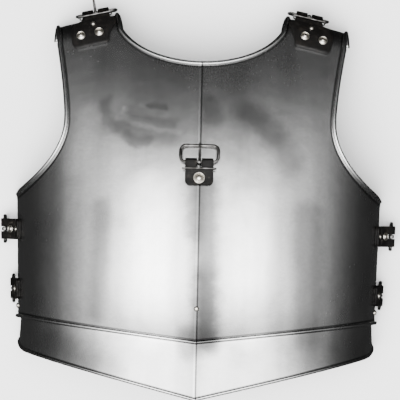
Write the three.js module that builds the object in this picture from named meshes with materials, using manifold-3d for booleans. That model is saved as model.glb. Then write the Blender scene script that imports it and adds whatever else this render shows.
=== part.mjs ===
// A steel breastplate with one waist lame, its leather buckle straps and their rivets.
// It lies on its back with the hollow down: x is across, y runs up the body, z is the front, in millimetres.
// While it is being made, y = 0 is the lame's lowest point. The whole is centred over its own box at the end.
import * as THREE from 'three';
import { mergeVertices } from 'three/addons/utils/BufferGeometryUtils.js';
import Module from 'manifold-3d';

const wasm = await Module();
wasm.setup();

// Driving dimensions
const STEEL = 1.5;
const LEATHER = 2;
const GAP = 0.3;
const SECTION_POWER = 2.4;
const BELLY = { y: 150, z: 147, fallAbove: 0.00121, fallBelow: 0.0025 };
const CREASE = { reach: 25, atBelly: 4.5, atNeck: 1.5 };
const NECK = { halfWidth: 93.5, bottomY: 371, topY: 425 };
const WAIST = { centreY: 63, cornerY: 86, halfWidth: 199 };
const ARMPIT = { x: 203, y: 222 };
const ARMHOLE = { narrowX: 148.5, turnY: 305, riseY: 309, crestX: 163, crestY: 407, risePower: 1.4 };
const ROLL = { innerX: 87.5, innerY: 406, outerX: 159.3, outerY: 388.5, endAngle: 145, endZ: 0.2 };
const ROLL_EDGE = { innerGrow: 6.5, outerGrow: 6.2 };
const LIP = { height: 3.2, width: 7.5 };
const NECK_ANGLE = { waistCorner: 24, armpit: 36 };
const EDGE_STEPS = [0, 3, 7.5];
const MIDDLE_STEPS = 8;
const LAME = { tuckCentre: 46, tuckSide: 15, inset: 3.2, flare: 0.1, spread: 0.05 };
const LAME_BOTTOM = { tipY: 1, slope: 0.245, cornerRadius: 9 };
const LAME_RIVET = { washer: 2.9, centreY: 101.7, sideY: 98, sideZ: 22 };
const BUCKLE_BAR = { radius: 1.5, play: 0.6 };
const KEEPER_WIRE = 0.8;
const TONGUE = { width: 3.6, thickness: 1.2, slotSide: 0.9 };

// Half widths of each strap at its buckle and at its plate end; distances along it run back from the buckle bar.
const CHEST_STRAP = { half: 15.4, rootHalf: 15.4, length: 25.5, rivet: 18, sections: 5 };
const SHOULDER_STRAP = { half: 15, rootHalf: 21, length: 45.5, rivet: 32, sections: 4 };
const UPPER_STRAP = { half: 11.5, rootHalf: 11.5, length: 34, rivet: 28, sections: 3 };
const LOWER_STRAP = { half: 11.5, rootHalf: 11.5, length: 23, rivet: 13, sections: 3 };
const CHEST_BUCKLE = { wide: 41, long: 19, keeper: 8, pitch: -7, lift: 0 };
const SHOULDER_BUCKLE = { wide: 43, long: 21, keeper: 9, pitch: -30, lift: 0 };
const UPPER_BUCKLE = { wide: 29, long: 17, keeper: 0, pitch: -38, lift: 0 };
const LOWER_BUCKLE = { wide: 29, long: 17, keeper: 0, pitch: 0, lift: 0 };
const LEFT_TONGUE_LIFT = 75;

const CHEST_BAR_Y = 259.5;
const SHOULDER = { centreX: 124, leaveAngle: 60, straight: 12, lean: 0.22, rivetSpread: 9.8, crestRivet: 20 };
const SHOULDER_BEND = { y: 400, reach: 8, turn: 0.85 };
const SHOULDER_LIFT = { bar: 1.2, root: 0.3 };
const UPPER_SIDE = { y: 183, barZ: 18.5, kickZ: 35.5, kick: 0.55, foldRivet: 12 };
const LOWER_SIDE = { y: 117, barZ: 19.5, kickZ: 0, kick: 0 };
const WASHER = { chest: 6, shoulder: 4.9, side: 4.3, small: 2.7 };

const radians = THREE.MathUtils.degToRad;
const lerp = THREE.MathUtils.lerp;
const clamp = THREE.MathUtils.clamp;
const smoothstep = THREE.MathUtils.smoothstep;

// Materials
function finish(name, color, roughness, metalness) {
  return new THREE.MeshStandardMaterial({ name, color, roughness, metalness });
}
const steel = finish('steel', 0xa9abad, 0.32, 1);
const darkSteel = finish('dark_steel', 0x4c4a48, 0.4, 1);
const rivetSteel = finish('rivet_steel', 0xb9b6ae, 0.3, 1);
const leather = finish('leather', 0x1b1614, 0.6, 0);

const part = new THREE.Group();

function add(name, geometry, material) {
  const mesh = new THREE.Mesh(geometry, material);
  mesh.name = name;
  part.add(mesh);
}

// Mesh helpers
function toSolid(geometry) {
  const bare = new THREE.BufferGeometry();
  bare.setAttribute('position', geometry.getAttribute('position'));
  bare.setIndex(geometry.getIndex());
  const merged = mergeVertices(bare, 1e-4);
  const vertProperties = Float32Array.from(merged.getAttribute('position').array);
  const triVerts = Uint32Array.from(merged.getIndex().array);
  return new wasm.Manifold(new wasm.Mesh({ numProp: 3, vertProperties, triVerts }));
}

function fromSolid(solid) {
  const mesh = solid.getMesh();
  return indexed(Float32Array.from(mesh.vertProperties), Array.from(mesh.triVerts));
}

function indexed(positions, triangles) {
  const geometry = new THREE.BufferGeometry();
  geometry.setAttribute('position', new THREE.BufferAttribute(positions, 3));
  geometry.setIndex(triangles);
  geometry.computeVertexNormals();
  return geometry;
}

// Triangles are turned over where the shape would come out inside out, as on the mirrored left pieces.
function fromPoints(points, triangles) {
  let volume = 0;
  for (let i = 0; i < triangles.length; i += 3) {
    const [a, b, c] = triangles.slice(i, i + 3).map((index) => points[index]);
    volume += a.dot(b.clone().cross(c));
  }
  const ordered = volume < 0 ? triangles.slice().reverse() : triangles;
  return indexed(Float32Array.from(points.flatMap((point) => point.toArray())), ordered);
}

// A sheet is a grid of points, lines[i][j]; it gets a wall of the given thickness on its inner side.
function sheetWithWall(lines, thickness) {
  const across = lines[0].length;
  const outer = lines.flat();
  const faces = [];
  for (let i = 0; i < lines.length - 1; i += 1) {
    for (let j = 0; j < across - 1; j += 1) {
      const a = i * across + j;
      const b = a + across;
      faces.push([a, b + 1, b], [a, a + 1, b + 1]);
    }
  }
  const normals = outer.map(() => new THREE.Vector3());
  const edges = new Map();
  for (const face of faces) {
    const [a, b, c] = face.map((index) => outer[index]);
    const normal = b.clone().sub(a).cross(c.clone().sub(a));
    face.forEach((index, corner) => {
      normals[index].add(normal);
      const next = face[(corner + 1) % 3];
      if (!edges.delete(`${next},${index}`)) edges.set(`${index},${next}`, [index, next]);
    });
  }
  const inner = outer.map((point, i) => point.clone().addScaledVector(normals[i].normalize(), -thickness));
  const count = outer.length;
  const triangles = faces.flat();
  for (const [a, b, c] of faces) triangles.push(count + a, count + c, count + b);
  for (const [a, b] of edges.values()) triangles.push(a, count + a, count + b, a, count + b, b);
  return fromPoints([...outer, ...inner], triangles);
}

// A loft joins closed outlines of one folded strip. Each runs out along one face and back along the other,
// so that point i lies across the strip from point count - 1 - i, and the two ends are closed between them.
function loft(outlines) {
  const count = outlines[0].length;
  const last = (outlines.length - 1) * count;
  const triangles = [];
  for (let i = 0; i < outlines.length - 1; i += 1) {
    for (let j = 0; j < count; j += 1) {
      const a = i * count + j;
      const b = i * count + ((j + 1) % count);
      triangles.push(a, b, b + count, a, b + count, a + count);
    }
  }
  for (let j = 0; j < count / 2 - 1; j += 1) {
    const opposite = count - 1 - j;
    triangles.push(j, opposite, opposite - 1, j, opposite - 1, j + 1);
    triangles.push(last + j, last + opposite - 1, last + opposite, last + j, last + j + 1, last + opposite - 1);
  }
  return fromPoints(outlines.flat(), triangles);
}

// A ring of round wire through a closed flat path, whose plane has the given normal.
function wireRing(path, normal, radius, sides) {
  const count = path.length;
  const points = [];
  const triangles = [];
  for (let i = 0; i < count; i += 1) {
    const ahead = path[(i + 1) % count].clone().sub(path[i]).normalize();
    const behind = path[i].clone().sub(path[(i + count - 1) % count]).normalize();
    const out = ahead.clone().add(behind).normalize().cross(normal).normalize();
    const stretch = radius / Math.cos(ahead.angleTo(behind) / 2);
    for (let j = 0; j < sides; j += 1) {
      const turn = (2 * Math.PI * (j + 0.5)) / sides;
      const point = path[i].clone().addScaledVector(out, stretch * Math.cos(turn));
      points.push(point.addScaledVector(normal, radius * Math.sin(turn)));
      const next = ((i + 1) % count) * sides;
      const side = (j + 1) % sides;
      triangles.push(i * sides + j, i * sides + side, next + side);
      triangles.push(i * sides + j, next + side, next + j);
    }
  }
  return fromPoints(points, triangles);
}

function roundedRectangle(halfX, lowY, highY, radius, cornerSteps) {
  const corners = [
    { x: halfX - radius, y: highY - radius, start: 0 },
    { x: radius - halfX, y: highY - radius, start: 90 },
    { x: radius - halfX, y: lowY + radius, start: 180 },
    { x: halfX - radius, y: lowY + radius, start: 270 },
  ];
  const points = [];
  for (const corner of corners) {
    for (let step = 0; step <= cornerSteps; step += 1) {
      const angle = radians(corner.start + (90 * step) / cornerSteps);
      points.push([corner.x + radius * Math.cos(angle), corner.y + radius * Math.sin(angle)]);
    }
  }
  return points;
}

// The breastplate's surface
function ridgeHeight(y) {
  const fall = y > BELLY.y ? BELLY.fallAbove : BELLY.fallBelow;
  return BELLY.z - fall * (y - BELLY.y) ** 2;
}

function creaseHeight(y) {
  return lerp(CREASE.atBelly, CREASE.atNeck, smoothstep(y, BELLY.y, NECK.bottomY));
}

function sideX(y) {
  const f = clamp((y - WAIST.cornerY) / (ARMPIT.y - WAIST.cornerY), 0, 1);
  return lerp(WAIST.halfWidth, ARMPIT.x, f);
}

function archHeight(x, halfWidth, top, crease) {
  const t = Math.min(Math.abs(x) / halfWidth, 1);
  const arch = (1 - t ** SECTION_POWER) ** (1 / SECTION_POWER);
  return (top - crease) * arch + crease * Math.exp(-Math.abs(x) / CREASE.reach);
}

function plateHeight(x, y) {
  return archHeight(x, sideX(y), ridgeHeight(y), creaseHeight(y));
}

function waistY(x) {
  return lerp(WAIST.centreY, WAIST.cornerY, Math.min(Math.abs(x) / WAIST.halfWidth, 1));
}

function neckEdge(degrees) {
  const angle = radians(degrees);
  const depth = NECK.topY - NECK.bottomY;
  return new THREE.Vector2(NECK.halfWidth * Math.sin(angle), NECK.topY - depth * Math.cos(angle));
}

function armholeX(y) {
  if (y < ARMHOLE.turnY) {
    const low = (ARMHOLE.turnY - y) / (ARMHOLE.turnY - ARMPIT.y);
    return ARMHOLE.narrowX + (ARMPIT.x - ARMHOLE.narrowX) * low ** 2;
  }
  const high = Math.max(0, (y - ARMHOLE.riseY) / (ARMHOLE.crestY - ARMHOLE.riseY));
  return ARMHOLE.narrowX + (ARMHOLE.crestX - ARMHOLE.narrowX) * high ** ARMHOLE.risePower;
}

// The shoulder rolls back over the body: beyond rollStartY the plate follows an arc, by angle, down to the floor.
function rollStartY(x) {
  const f = (x - ROLL.innerX) / (ROLL.outerX - ROLL.innerX);
  return lerp(ROLL.innerY, ROLL.outerY, f);
}

function shoulderArc(x) {
  const y = rollStartY(x);
  const z = plateHeight(x, y);
  const start = Math.atan(plateHeight(x, y - 0.5) - plateHeight(x, y + 0.5));
  const end = radians(ROLL.endAngle);
  return { y, z, start, end, radius: (z - ROLL.endZ) / (Math.cos(start) - Math.cos(end)) };
}

function shoulderPoint(x, angle) {
  const arc = shoulderArc(Math.abs(x));
  const y = arc.y + arc.radius * (Math.sin(angle) - Math.sin(arc.start));
  const z = arc.z + arc.radius * (Math.cos(angle) - Math.cos(arc.start));
  return new THREE.Vector3(x, y, z);
}

// Free edges that are turned outward, as flat outlines for measuring how far a point lies from them
const neckAngleAtRoll = THREE.MathUtils.radToDeg(Math.acos((NECK.topY - ROLL.innerY) / (NECK.topY - NECK.bottomY)));
const flangedEdges = [
  Array.from({ length: 25 }, (_, i) => neckEdge((neckAngleAtRoll * i) / 24)),
  Array.from({ length: 33 }, (_, i) => {
    const y = lerp(ARMPIT.y, ROLL.outerY, i / 32);
    return new THREE.Vector2(armholeX(y), y);
  }),
  [new THREE.Vector2(0, WAIST.centreY), new THREE.Vector2(WAIST.halfWidth, WAIST.cornerY)],
];

function distanceToEdges(x, y) {
  const point = new THREE.Vector3(Math.abs(x), y, 0);
  const nearest = new THREE.Vector3();
  let least = Infinity;
  for (const edge of flangedEdges) {
    for (let i = 0; i < edge.length - 1; i += 1) {
      const from = new THREE.Vector3(edge[i].x, edge[i].y, 0);
      const to = new THREE.Vector3(edge[i + 1].x, edge[i + 1].y, 0);
      new THREE.Line3(from, to).closestPointToPoint(point, true, nearest);
      least = Math.min(least, nearest.distanceTo(point));
    }
  }
  return least;
}

function lipHeight(distance) {
  return LIP.height * Math.max(0, 1 - distance / LIP.width) ** 2;
}

// Lines across the half plate, each from the neck edge to the outer edge. The first is the ridge.
// bow is how far down its bend lies: half way is a straight line.
const acrossWaist = [0, 0.05];
for (let step = 1; step <= 12; step += 1) acrossWaist.push(Math.sin((step * Math.PI) / 24) ** (2 / SECTION_POWER));
const upSide = [0.06, 0.3, 0.6, 0.94, 1];
const upArmhole = [0.05, 0.16, 0.3, 0.45, 0.6, 0.75, 0.88, 1];
const overRoll = [0.13, 0.28, 0.44, 0.62, 0.81, 1];

function halfPlateLines() {
  const lines = [];
  for (const f of acrossWaist) {
    const x = f * WAIST.halfWidth;
    lines.push(flatLine(neckEdge(NECK_ANGLE.waistCorner * f), new THREE.Vector2(x, waistY(x)), 0.5));
  }
  for (const f of upSide) {
    const y = lerp(WAIST.cornerY, ARMPIT.y, f);
    const neck = neckEdge(lerp(NECK_ANGLE.waistCorner, NECK_ANGLE.armpit, f));
    lines.push(flatLine(neck, new THREE.Vector2(sideX(y), y), lerp(0.5, 1.03, f)));
  }
  for (const f of upArmhole) {
    const y = lerp(ARMPIT.y, ROLL.outerY, f);
    const neck = neckEdge(lerp(NECK_ANGLE.armpit, neckAngleAtRoll, f));
    lines.push(flatLine(neck, new THREE.Vector2(armholeX(y), y), lerp(1.03, 0.5, f)));
  }
  for (const f of overRoll) lines.push(rollLine(f));
  return lines;
}

function edgeFractions(length) {
  const near = EDGE_STEPS.map((step) => step / length);
  const far = EDGE_STEPS.map((step) => 1 - step / length).reverse();
  const first = near[near.length - 1];
  const middle = Array.from({ length: MIDDLE_STEPS - 1 }, (_, i) => lerp(first, far[0], (i + 1) / MIDDLE_STEPS));
  return [...near, ...middle, ...far];
}

function flatLine(neck, outer, bow) {
  const bend = new THREE.Vector2(lerp(neck.x, outer.x, 0.5), lerp(neck.y, outer.y, bow));
  const curve = new THREE.QuadraticBezierCurve(neck, bend, outer);
  return edgeFractions(curve.getLength()).map((f) => {
    const { x, y } = curve.getPointAt(f);
    const lip = lipHeight(distanceToEdges(x, y));
    return raisedPoint(x, y, lip);
  });
}

function raisedPoint(x, y, lip) {
  const slopeX = plateHeight(x + 0.5, y) - plateHeight(Math.max(x - 0.5, 0), y);
  const slopeY = plateHeight(x, y + 0.5) - plateHeight(x, y - 0.5);
  const normal = new THREE.Vector3(x === 0 ? 0 : -slopeX, -slopeY, 1).normalize();
  return new THREE.Vector3(x, y, plateHeight(x, y)).addScaledVector(normal, lip);
}

function rollLine(f) {
  const inner = ROLL.innerX + ROLL_EDGE.innerGrow * Math.sin((f * Math.PI) / 2);
  const outer = ROLL.outerX + ROLL_EDGE.outerGrow * f;
  return edgeFractions(outer - inner).map((g) => {
    const x = lerp(inner, outer, g);
    const arc = shoulderArc(x);
    const angle = lerp(arc.start, arc.end, f);
    const lip = lipHeight(Math.min(x - inner, outer - x));
    const point = shoulderPoint(x, angle);
    point.y += lip * Math.sin(angle);
    point.z = Math.max(point.z + lip * Math.cos(angle), ROLL.endZ);
    return point;
  });
}

function mirrored(lines) {
  const left = lines.slice(1).reverse();
  const flipped = left.map((line) => line.map((point) => new THREE.Vector3(-point.x, point.y, point.z)));
  return [...flipped, ...lines];
}

// The waist lame is one plate tucked under the waist edge; depth runs down from the waist line.
function lameBottomY(x) {
  const radius = LAME_BOTTOM.cornerRadius;
  const straight = LAME_BOTTOM.tipY + LAME_BOTTOM.slope * Math.abs(x);
  const rounding = Math.max(0, radius - (WAIST.halfWidth - Math.abs(x)));
  return straight + radius - Math.sqrt(radius ** 2 - rounding ** 2);
}

function lamePoint(acrossFraction, depth) {
  const nominalX = acrossFraction * WAIST.halfWidth;
  const waist = waistY(nominalX);
  const y = waist - depth;
  const carrier = Math.max(y, waist);
  const below = Math.max(depth, 0);
  const halfWidth = sideX(carrier) - LAME.inset + LAME.spread * below;
  const top = ridgeHeight(carrier) - LAME.inset + LAME.flare * below;
  const x = acrossFraction * halfWidth;
  return new THREE.Vector3(x, y, archHeight(x, halfWidth, top, creaseHeight(carrier)));
}

function halfLameLines() {
  return acrossWaist.map((f) => {
    const x = f * WAIST.halfWidth;
    const lowest = waistY(x) - lameBottomY(x);
    const tuck = lerp(LAME.tuckCentre, LAME.tuckSide, f);
    const depths = [-tuck, -0.5 * tuck, -0.1 * tuck, 4, 0.5 * lowest, lowest - 3, lowest];
    return depths.map((depth) => lamePoint(f, depth));
  });
}

// A place on a strap: where, with directions across it, along it towards the buckle, and out of it
function place(origin, across, out) {
  const along = out.clone().cross(across).normalize();
  const trueOut = across.clone().cross(along).normalize();
  return new THREE.Matrix4().makeBasis(across.clone().normalize(), along, trueOut).setPosition(origin);
}

// Leather straps: a strip folded round a buckle bar. Its side view has d back from the bar and h off the surface.
const barHeight = GAP + LEATHER + BUCKLE_BAR.radius + BUCKLE_BAR.play;

function strapOutline(strap, keeper) {
  const layers = 2 * LEATHER + 2 * GAP;
  const inside = BUCKLE_BAR.radius + BUCKLE_BAR.play;
  const outside = inside + LEATHER;
  const wireRoom = GAP + LEATHER + 2 * KEEPER_WIRE + 2 * GAP;
  const keeperStops = keeper ? [keeper - 1.2, keeper + 1.2] : [];
  const closed = (keeper || 4) + 3.7;
  const steps = Math.ceil((strap.length - closed) / 5.5);
  const stops = Array.from({ length: steps + 1 }, (_, i) => lerp(closed, strap.length, i / steps));
  const fold = (radius, degrees) => {
    const angle = radians(degrees);
    return [-radius * Math.cos(angle), barHeight + radius * Math.sin(angle)];
  };
  const back = [...stops].reverse();
  return [
    ...back.map((d) => [d, GAP]),
    ...[-90, -45, 0, 45, 90].map((degrees) => fold(outside, degrees)),
    ...keeperStops.map((d) => [d, wireRoom + LEATHER]),
    ...stops.map((d) => [d, layers]),
    ...back.map((d) => [d, layers - LEATHER]),
    ...[...keeperStops].reverse().map((d) => [d, wireRoom]),
    ...[90, 45, 0, -45, -90].map((degrees) => fold(inside, degrees)),
    ...stops.map((d) => [d, GAP + LEATHER]),
  ];
}

function clippedHalf(strap, d) {
  const taper = smoothstep(d, 11, 19);
  const corner = Math.max(0, d - strap.length + 4);
  return lerp(strap.half, strap.rootHalf, taper) - 0.7 * corner;
}

// track(a, d, h) gives the place of a point of the strap on its own surface.
function strapGeometry(strap, keeper, track) {
  const outline = strapOutline(strap, keeper);
  const outlines = Array.from({ length: strap.sections }, (_, i) => {
    const f = (2 * i) / (strap.sections - 1) - 1;
    return outline.map(([d, h]) => track(f * clippedHalf(strap, d), d, h));
  });
  return loft(outlines);
}

function cylinderAt(matrix, radius, low, high, sides) {
  const cylinder = new THREE.CylinderGeometry(radius, radius, high - low, sides);
  cylinder.rotateX(Math.PI / 2).translate(0, 0, (low + high) / 2);
  return toSolid(cylinder.applyMatrix4(matrix));
}

function slotAt(matrix) {
  const width = TONGUE.width + 2 * TONGUE.slotSide;
  const slot = new THREE.BoxGeometry(width, 13, 16);
  return toSolid(slot.translate(0, -0.5, 0).applyMatrix4(matrix));
}

// The steel frame turns on the bar that the leather is folded round.
function frameGeometry(size, matrix, pitch) {
  const outline = roundedRectangle(size.wide / 2, 0, size.long, 4, 2);
  const turned = matrix.clone().multiply(new THREE.Matrix4().makeRotationX(pitch));
  const path = outline.map(([x, y]) => new THREE.Vector3(x, y, 0));
  return wireRing(path, new THREE.Vector3(0, 0, 1), BUCKLE_BAR.radius, 5).applyMatrix4(turned);
}

// The tongue is an eye on the bar with a flat arm that reaches over the far side of the frame.
function tongueGeometry(size, matrix, pitch) {
  const hole = BUCKLE_BAR.radius + GAP + 0.1;
  const eye = hole + TONGUE.thickness;
  const reach = size.long + 3;
  const rest = BUCKLE_BAR.radius + GAP;
  const shape = new THREE.Shape();
  shape.absarc(0, 0, eye, radians(60), radians(340), false);
  shape.lineTo(size.long * 0.5, rest - 0.4);
  shape.lineTo(size.long, rest);
  shape.lineTo(reach, rest - 0.3);
  shape.lineTo(reach, rest + TONGUE.thickness - 0.5);
  shape.lineTo(size.long, rest + TONGUE.thickness);
  shape.lineTo(size.long * 0.5, rest + TONGUE.thickness - 0.2);
  shape.closePath();
  const bore = new THREE.Path();
  bore.absarc(0, 0, hole, 0, 2 * Math.PI, true);
  shape.holes.push(bore);
  const side = { depth: TONGUE.width, bevelEnabled: false, curveSegments: 3 };
  const tongue = new THREE.ExtrudeGeometry(shape, side).translate(0, 0, -TONGUE.width / 2);
  tongue.applyMatrix4(new THREE.Matrix4().makeBasis(
    new THREE.Vector3(0, 1, 0), new THREE.Vector3(0, 0, 1), new THREE.Vector3(1, 0, 0)));
  const turned = matrix.clone().multiply(new THREE.Matrix4().makeRotationX(pitch));
  return tongue.applyMatrix4(turned);
}

// The keeper is a thin wire loop round the strap's outer layer.
function keeperGeometry(strap, back, matrix) {
  const low = GAP + LEATHER + GAP + KEEPER_WIRE - barHeight;
  const high = low + LEATHER + 2 * KEEPER_WIRE + 3 * GAP;
  const outline = roundedRectangle(strap.half + 2.6, low, high, 1.6, 2);
  const path = outline.map(([x, z]) => new THREE.Vector3(x, -back, z));
  return wireRing(path, new THREE.Vector3(0, -1, 0), KEEPER_WIRE, 4).applyMatrix4(matrix);
}

// A rivet has a domed head with a washer, a shank, and a hammered tail behind what it holds.
function rivetGeometry(matrix, washer, stack) {
  const shank = 1.6;
  const dome = washer * 0.68;
  const tail = -stack - GAP;
  const profile = [
    [0, GAP + dome * 0.75], [dome * 0.75, GAP + dome * 0.5], [washer, GAP + 0.6], [washer, GAP],
    [shank, GAP], [shank, tail], [shank + 1.4, tail], [0, tail - 1.2],
  ];
  const points = profile.map(([r, z]) => new THREE.Vector2(r, z)).reverse();
  return new THREE.LatheGeometry(points, 6).rotateX(Math.PI / 2).applyMatrix4(matrix);
}

// Pieces that rivets pass through are kept as solids until every hole is cut.
const RIVET_HOLE = 2.2;
const carriers = {};

function holdAt(names, matrix, stack) {
  for (const name of names) {
    const drill = cylinderAt(matrix, RIVET_HOLE, -stack - 3, 2, 6);
    carriers[name].solid = carriers[name].solid.subtract(drill);
  }
}

function carry(name, geometry, material) {
  carriers[name] = { solid: toSolid(geometry), material };
}

// One buckle on its strap: leather, frame and tongue, and a keeper where the strap has one
function buckle(name, strap, size, track) {
  const origin = track(0, 0, barHeight);
  const across = track(5, 0, barHeight).sub(track(-5, 0, barHeight));
  const out = track(0, 0, barHeight + 5).sub(origin);
  const bar = place(origin, across, out);
  carry(`${name}_strap`, strapGeometry(strap, size.keeper, track), leather);
  carriers[`${name}_strap`].solid = carriers[`${name}_strap`].solid.subtract(slotAt(bar));
  add(`${name}_buckle_frame`, frameGeometry(size, bar, radians(size.pitch)), darkSteel);
  add(`${name}_buckle_tongue`, tongueGeometry(size, bar, radians(size.pitch + size.lift)), darkSteel);
  if (size.keeper) add(`${name}_keeper`, keeperGeometry(strap, size.keeper, bar), darkSteel);
}

function strapRivet(name, strapName, track, a, d, washer, throughPlate) {
  const layers = 2 * LEATHER + 2 * GAP;
  const top = track(a, d, layers);
  const out = track(a, d, layers + 5).sub(top);
  const across = track(a + 2, d, layers).sub(track(a - 2, d, layers));
  const stack = throughPlate ? layers + STEEL + 5 * GAP : layers + GAP;
  const matrix = place(top, across, out);
  holdAt(throughPlate ? [strapName, 'breastplate'] : [strapName], matrix, stack);
  add(name, rivetGeometry(matrix, washer, stack), rivetSteel);
}

carry('breastplate', sheetWithWall(mirrored(halfPlateLines()), STEEL), steel);
carry('waist_lame', sheetWithWall(mirrored(halfLameLines()), STEEL), steel);

// Chest buckle on the ridge: the strap bends over the ridge at its root and is straight at the bar.
function chestTrack(a, d, h) {
  const slope = plateHeight(0, CHEST_BAR_Y + 0.5) - plateHeight(0, CHEST_BAR_Y - 0.5);
  const out = new THREE.Vector3(0, -slope, 1).normalize();
  const y = CHEST_BAR_Y - d / Math.hypot(1, slope);
  const bend = smoothstep(d, 11.5, 19) * (plateHeight(a, y) - plateHeight(0, y));
  return new THREE.Vector3(a, y, plateHeight(0, y) + bend).addScaledVector(out, h);
}

// Shoulder strap: on the plate it follows the roll, and it leaves it in a straight line to the bar.
// It leans outward up the plate and bends towards the neck over the crest.
function shoulderShift(planY) {
  const up = planY - SHOULDER_BEND.y;
  const reach = SHOULDER_BEND.reach;
  const past = up < reach ? Math.max(0, up + reach) ** 2 / (4 * reach) : up;
  return SHOULDER.lean * up - SHOULDER_BEND.turn * past;
}

function shoulderTrack(side) {
  const leave = radians(SHOULDER.leaveAngle);

  function onPlate(a, d) {
    const back = d - SHOULDER.straight;
    const arc = shoulderArc(SHOULDER.centreX + a);
    const turned = leave - back / arc.radius;
    const angle = Math.max(turned, arc.start);
    const rest = Math.max(0, (arc.start - turned) * arc.radius) * Math.cos(arc.start);
    const planY = shoulderPoint(SHOULDER.centreX + a, angle).y - rest;
    const x = SHOULDER.centreX + a + shoulderShift(planY);
    const point = shoulderPoint(x, Math.max(angle, shoulderArc(x).start));
    if (rest === 0) return point;
    const y = rollStartY(x) - rest;
    return new THREE.Vector3(x, y, plateHeight(x, y));
  }

  const end = onPlate(0, SHOULDER.straight);
  const acrossBar = onPlate(8, SHOULDER.straight).sub(onPlate(-8, SHOULDER.straight)).normalize();
  const away = end.clone().sub(onPlate(0, SHOULDER.straight + 1));
  away.addScaledVector(acrossBar, -away.dot(acrossBar)).normalize();

  function centre(d) {
    return d > SHOULDER.straight ? onPlate(0, d) : end.clone().addScaledVector(away, SHOULDER.straight - d);
  }

  return (a, d, h) => {
    const along = centre(d - 0.5).sub(centre(d + 0.5)).normalize();
    const out = acrossBar.clone().cross(along).normalize();
    const straight = centre(d).addScaledVector(acrossBar, a * side);
    const blend = smoothstep(d, SHOULDER.straight, SHOULDER.straight + 5);
    const settled = smoothstep(d, SHOULDER.straight + 2, SHOULDER.straight + 8);
    const lift = lerp(SHOULDER_LIFT.bar, SHOULDER_LIFT.root, settled);
    const point = blend > 0 ? straight.lerp(onPlate(a * side, d), blend) : straight;
    point.addScaledVector(out, h + lift);
    point.x *= side;
    return point;
  };
}

// Side strap: it hangs down the plate's side; the upper pair springs outward below kickZ.
function sideSurfaceX(y, z) {
  const top = ridgeHeight(y) - creaseHeight(y);
  return sideX(y) * (1 - Math.min(z / top, 1) ** SECTION_POWER) ** (1 / SECTION_POWER);
}

function sideTrack(side, spot) {
  function profile(y, d) {
    const slope = sideSurfaceX(y, spot.kickZ) - sideSurfaceX(y, spot.kickZ + 1) + spot.kick;
    const freeLength = Math.max(0, spot.kickZ - spot.barZ) * Math.hypot(1, slope);
    if (d >= freeLength || spot.kickZ === 0) {
      const z = Math.max(spot.kickZ, spot.barZ) + 0.97 * (d - freeLength);
      return new THREE.Vector3(sideSurfaceX(y, z), y, z);
    }
    const drop = (freeLength - d) / Math.hypot(1, slope);
    return new THREE.Vector3(sideSurfaceX(y, spot.kickZ) + slope * drop, y, spot.kickZ - drop);
  }

  return (a, d, h) => {
    const y = spot.y - a * side;
    const along = profile(spot.y, d - 0.5).sub(profile(spot.y, d + 0.5)).normalize();
    const out = new THREE.Vector3(-along.z, 0, along.x).normalize();
    const point = profile(y, d).addScaledVector(out, h);
    point.x *= side;
    return point;
  };
}

buckle('chest', CHEST_STRAP, CHEST_BUCKLE, chestTrack);
strapRivet('chest_rivet', 'chest_strap', chestTrack, 0, CHEST_STRAP.rivet, WASHER.chest, true);

for (const [label, side] of [['left', -1], ['right', 1]]) {
  const shoulder = shoulderTrack(side);
  const shoulderName = `${label}_shoulder`;
  const shoulderBuckle = { ...SHOULDER_BUCKLE, lift: side < 0 ? LEFT_TONGUE_LIFT : 0 };
  buckle(shoulderName, SHOULDER_STRAP, shoulderBuckle, shoulder);
  const rivets = [
    { which: 'inner', a: -side * SHOULDER.rivetSpread, d: SHOULDER_STRAP.rivet, washer: WASHER.shoulder },
    { which: 'outer', a: side * SHOULDER.rivetSpread, d: SHOULDER_STRAP.rivet, washer: WASHER.shoulder },
    { which: 'crest', a: 0, d: SHOULDER.crestRivet, washer: WASHER.small },
  ];
  for (const { which, a, d, washer } of rivets) {
    strapRivet(`${shoulderName}_${which}_rivet`, `${shoulderName}_strap`, shoulder, a, d, washer, true);
  }

  const upper = sideTrack(side, UPPER_SIDE);
  const upperName = `${label}_upper_side`;
  buckle(upperName, UPPER_STRAP, UPPER_BUCKLE, upper);
  strapRivet(`${upperName}_fold_rivet`, `${upperName}_strap`, upper, 0, UPPER_SIDE.foldRivet, WASHER.side, false);
  strapRivet(`${upperName}_plate_rivet`, `${upperName}_strap`, upper, 0, UPPER_STRAP.rivet, WASHER.small, true);

  const lower = sideTrack(side, LOWER_SIDE);
  const lowerName = `${label}_lower_side`;
  buckle(lowerName, LOWER_STRAP, LOWER_BUCKLE, lower);
  strapRivet(`${lowerName}_rivet`, `${lowerName}_strap`, lower, 0, LOWER_STRAP.rivet, WASHER.side, true);
}

// Three rivets hold the lame to the breastplate: one on the ridge and one low on each side.
function lameRivet(name, x, y) {
  const origin = raisedPoint(Math.abs(x), y, 0);
  const out = raisedPoint(Math.abs(x), y, 5).sub(origin);
  if (x < 0) {
    origin.x *= -1;
    out.x *= -1;
  }
  const across = new THREE.Vector3(0, 1, 0).cross(out);
  const matrix = place(origin, across, out);
  const stack = LAME.inset + STEEL + 2 * GAP;
  holdAt(['breastplate', 'waist_lame'], matrix, stack);
  add(name, rivetGeometry(matrix, LAME_RIVET.washer, stack), rivetSteel);
}

const sideRivetX = sideSurfaceX(LAME_RIVET.sideY, LAME_RIVET.sideZ);
lameRivet('lame_centre_rivet', 0, LAME_RIVET.centreY);
lameRivet('lame_left_rivet', -sideRivetX, LAME_RIVET.sideY);
lameRivet('lame_right_rivet', sideRivetX, LAME_RIVET.sideY);

for (const [name, { solid, material }] of Object.entries(carriers)) add(name, fromSolid(solid), material);

// The origin goes under the middle of the whole, on the surface it lies on.
const box = new THREE.Box3().setFromObject(part);
part.position.set(-(box.min.x + box.max.x) / 2, -(box.min.y + box.max.y) / 2, -box.min.z);

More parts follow.
